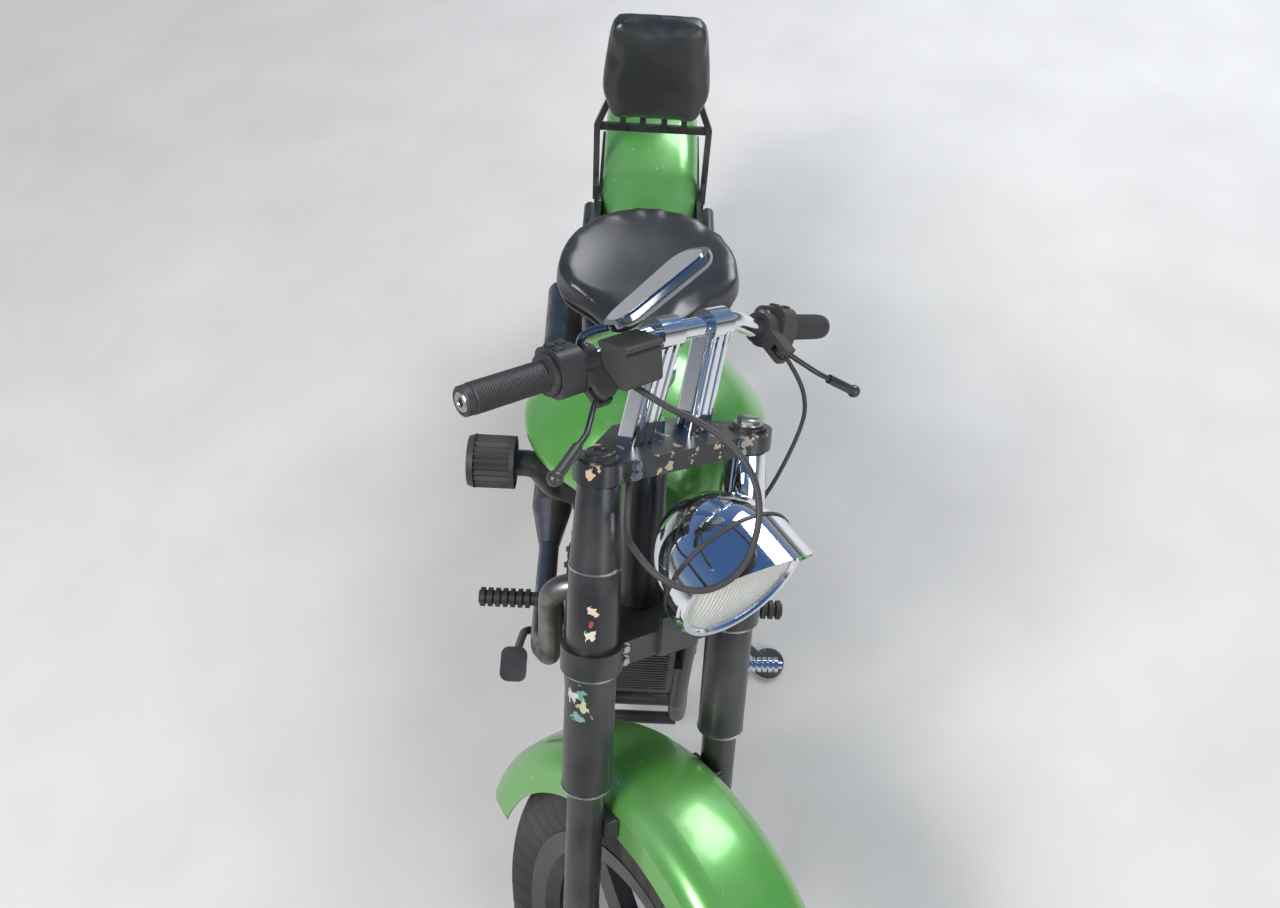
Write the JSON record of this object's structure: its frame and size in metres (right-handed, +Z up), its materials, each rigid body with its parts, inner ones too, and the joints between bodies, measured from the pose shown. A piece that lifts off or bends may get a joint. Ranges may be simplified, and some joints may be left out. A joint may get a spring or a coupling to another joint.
{
  "type": "solo cruiser motorcycle",
  "caption": "Low cruiser with a long raked fork, deep fenders, solo saddle and backrest, leaning on its side stand with the steering turned to its left stop.",
  "frame": {"origin": "on the ground under the middle of the parked machine's box", "axes": "+Y to the rear of the machine, +X to the rider's left, the side it leans to, +Z up"},
  "size_m": [0.6598, 2.2158, 1.2512],
  "materials": {
    "green_paint": "metallic, clear coated",
    "black_paint": "satin, chipped",
    "black_casting": "matte",
    "chrome": "polished",
    "bare_steel": "brushed",
    "grip_rubber": "matte",
    "tyre_rubber": "matte",
    "seat_hide": "smooth",
    "lens_glass": "ribbed",
    "red_lens": "moulded",
    "mirror_face": "silvered"
  },
  "bodies": {
    "chassis": {"air_filter": "grip_rubber", "backrest_bar": "black_paint", "backrest_pad": "seat_hide", "battery_box": "black_paint", "brake_pedal": "black_paint", "engine_cases": "black_casting", "exhaust_pipes": "chrome", "fender_struts": "black_paint", "foot_pegs": "grip_rubber", "frame": "black_paint", "front_cylinder": "black_casting", "fuel_tank": "green_paint", "gear_lever": "chrome", "intake_manifold": "black_paint", "radiator": "black_paint", "rear_axle": "bare_steel", "rear_cylinder": "black_casting", "rear_fender": "green_paint", "saddle": "seat_hide", "saddle_base": "black_paint", "shock_absorbers": "chrome", "swingarm": "black_paint", "tail_lamp": "red_lens"},
    "steering": {"upper_clamp": "black_paint", "lower_clamp": "black_paint", "stem_nut": "chrome", "risers": "chrome", "handlebar": "chrome", "grips": "grip_rubber", "levers": "chrome", "control_housings": "black_casting", "brake_reservoir": "black_casting", "mirror_shell": "chrome", "mirror_glass": "mirror_face", "headlamp_bucket": "chrome", "headlamp_lens": "lens_glass", "headlamp_bracket": "black_paint", "fork_legs": "black_paint", "front_axle": "bare_steel", "front_fender": "green_paint", "fender_stays": "black_paint", "front_caliper": "black_casting", "brake_hose": "grip_rubber", "clutch_cable": "grip_rubber"},
    "front_wheel": {"front_tyre": "tyre_rubber", "front_wheel": "black_paint", "front_brake_disc": "bare_steel"},
    "rear_wheel": {"rear_tyre": "tyre_rubber", "rear_wheel": "black_paint", "rear_brake_disc": "bare_steel"},
    "side_stand": {"side_stand": "black_paint"}
  },
  "joints": [
    {"name": "steering", "type": "hinge", "parent": "chassis", "child": "steering", "pos_m": [-0.08608, -0.9624, -0.00898], "axis": [0.1095, 0.5388, 0.8353], "range_deg": [-74, 0]},
    {"name": "front_wheel_spin", "type": "hinge", "parent": "steering", "child": "front_wheel", "pos_m": [-0.00875, -0.81924, 0.29786], "axis": [0.749, 0.5077, -0.4257], "continuous": true},
    {"name": "rear_wheel_spin", "type": "hinge", "parent": "chassis", "child": "rear_wheel", "pos_m": [-0.04405, 0.73031, 0.32218], "axis": [0.9914, 0.0009, -0.1305], "continuous": true},
    {"name": "side_stand_fold", "type": "hinge", "parent": "chassis", "child": "side_stand", "pos_m": [0.09699, -0.13847, 0.14621], "axis": [0.7253, -0.2175, 0.6532], "range_deg": [0, 95]}
  ]
}
